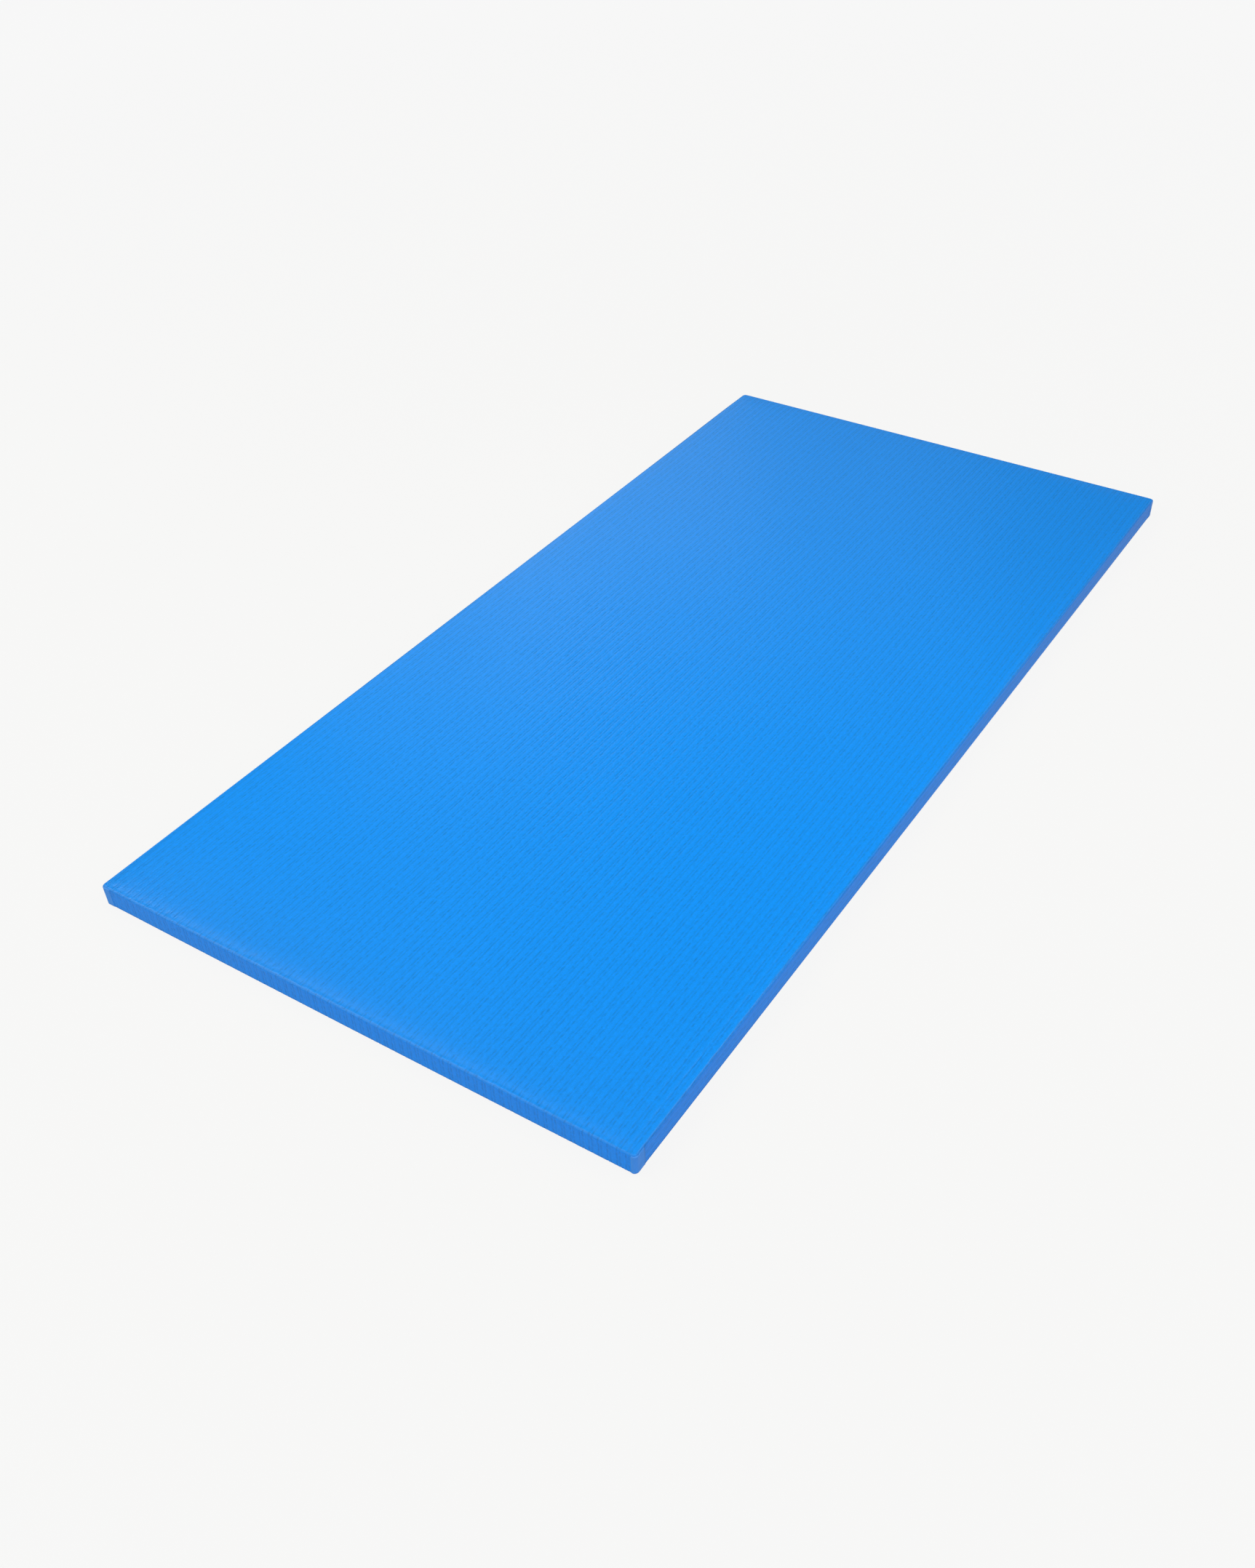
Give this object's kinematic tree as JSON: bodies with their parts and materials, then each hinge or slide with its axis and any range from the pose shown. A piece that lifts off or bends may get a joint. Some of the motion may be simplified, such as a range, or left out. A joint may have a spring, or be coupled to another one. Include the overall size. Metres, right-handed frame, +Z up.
{
  "type": "foam gymnastics and judo practice mat",
  "caption": "Flat oblong foam practice mat in a blue vinyl cover with a fine rice-straw embossing, plain corner strips and a grip sheet underneath, for gymnastics and judo floors.",
  "frame": {"origin": "middle of the underside of the grip sheet, on the floor", "axes": "+Y along the length, +X across the width, +Z up out of the work face"},
  "size_m": [1, 2, 0.04],
  "materials": {
    "cover_vinyl": "satin PVC sheet embossed with a fine rice-straw weave",
    "strip_vinyl": "plain smooth satin PVC strip",
    "core_foam": "rebonded polyurethane foam crumb",
    "grip_rubber": "matt waffle-textured rubber"
  },
  "bodies": {
    "root": {"foam_core": "core_foam", "top_cover": "cover_vinyl", "grip_sheet": "grip_rubber", "corner_strip_front_right": "strip_vinyl", "corner_strip_front_left": "strip_vinyl", "corner_strip_rear_right": "strip_vinyl", "corner_strip_rear_left": "strip_vinyl"}
  },
  "joints": []
}
